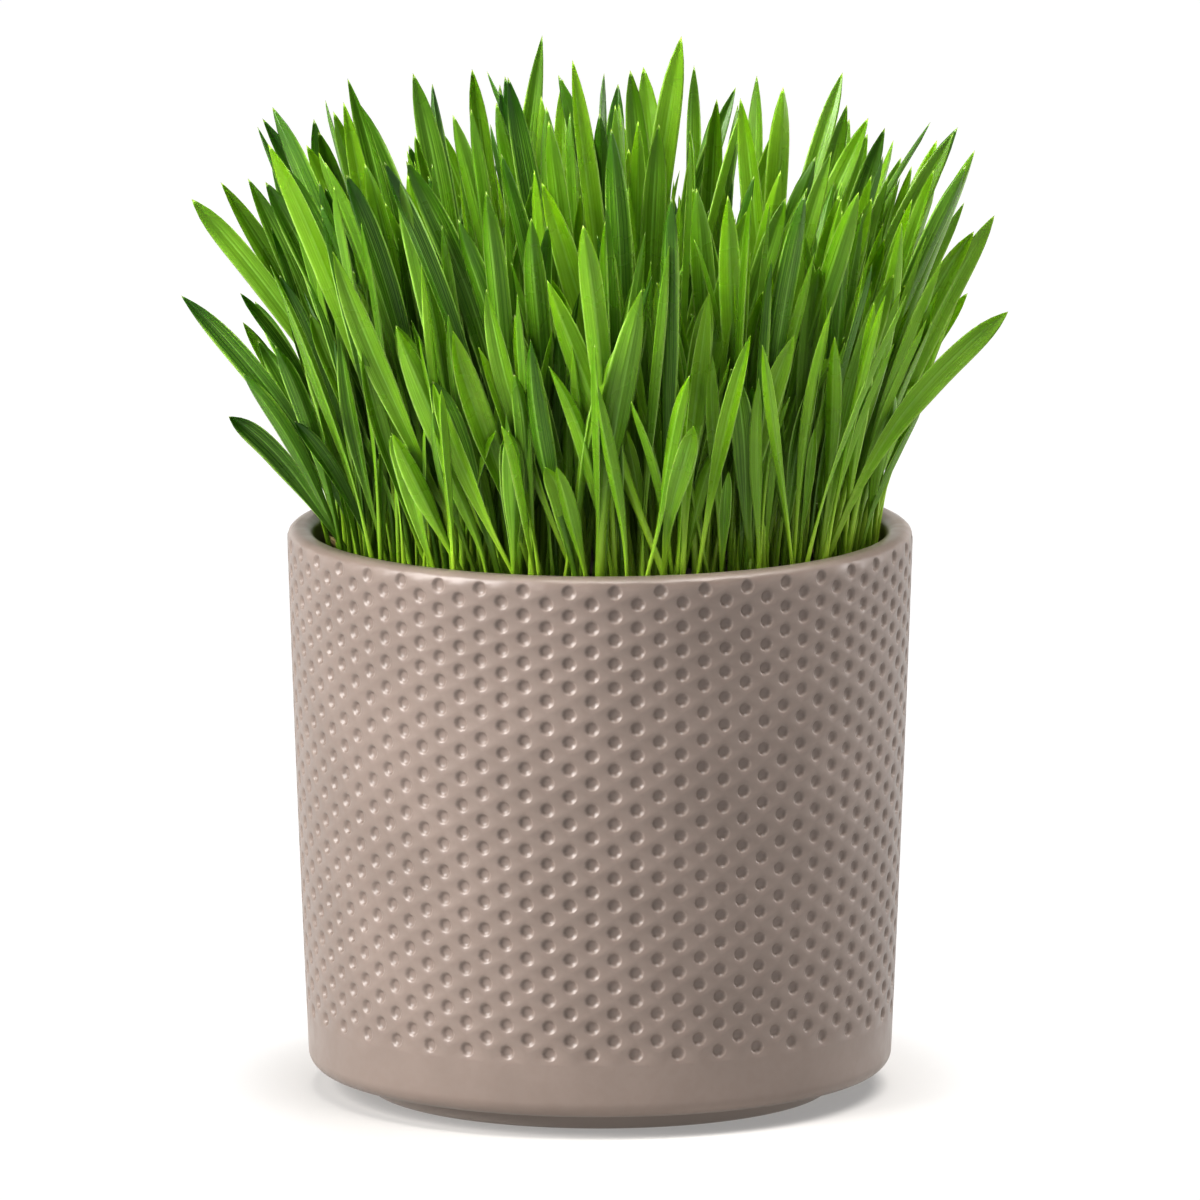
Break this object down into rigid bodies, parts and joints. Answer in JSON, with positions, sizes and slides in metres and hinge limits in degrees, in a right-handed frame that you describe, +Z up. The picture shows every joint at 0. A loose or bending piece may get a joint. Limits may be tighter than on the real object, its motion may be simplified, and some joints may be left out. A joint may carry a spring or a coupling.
{
  "type": "potted cat grass",
  "caption": "Dense head of young cereal grass standing in soil in a round, dimpled ceramic pot on a ring foot; it stands free on its foot.",
  "frame": {"origin": "middle of the foot ring, on the surface that the pot stands on", "axes": "+Z up along the pot's axis, -Y to the front, +X to the right as seen from the front"},
  "size_m": [0.1974, 0.184, 0.2547],
  "materials": {
    "glaze": "satin",
    "soil": "matte",
    "husk": "matte",
    "grass": "satin"
  },
  "bodies": {
    "root": {"pot": "glaze", "soil": "soil", "seed_husk_1": "husk", "seed_husk_2": "husk", "seed_husk_3": "husk", "tuft_01": "grass", "tuft_02": "grass", "tuft_03": "grass", "tuft_04": "grass", "tuft_05": "grass", "tuft_06": "grass", "tuft_07": "grass", "tuft_08": "grass", "tuft_09": "grass", "tuft_10": "grass", "tuft_11": "grass", "tuft_12": "grass", "tuft_13": "grass", "tuft_14": "grass", "tuft_15": "grass", "tuft_16": "grass", "tuft_17": "grass", "tuft_18": "grass", "tuft_19": "grass", "tuft_20": "grass", "tuft_21": "grass", "tuft_22": "grass", "tuft_23": "grass", "tuft_24": "grass", "tuft_25": "grass", "tuft_26": "grass", "tuft_27": "grass", "tuft_28": "grass", "tuft_29": "grass", "tuft_30": "grass", "tuft_31": "grass", "tuft_32": "grass", "tuft_33": "grass", "tuft_34": "grass", "tuft_35": "grass", "tuft_36": "grass", "tuft_37": "grass", "tuft_38": "grass", "tuft_39": "grass", "tuft_40": "grass", "tuft_41": "grass", "tuft_42": "grass", "tuft_43": "grass", "tuft_44": "grass", "tuft_45": "grass", "tuft_46": "grass", "tuft_47": "grass", "tuft_48": "grass", "tuft_49": "grass", "tuft_50": "grass"}
  },
  "joints": []
}
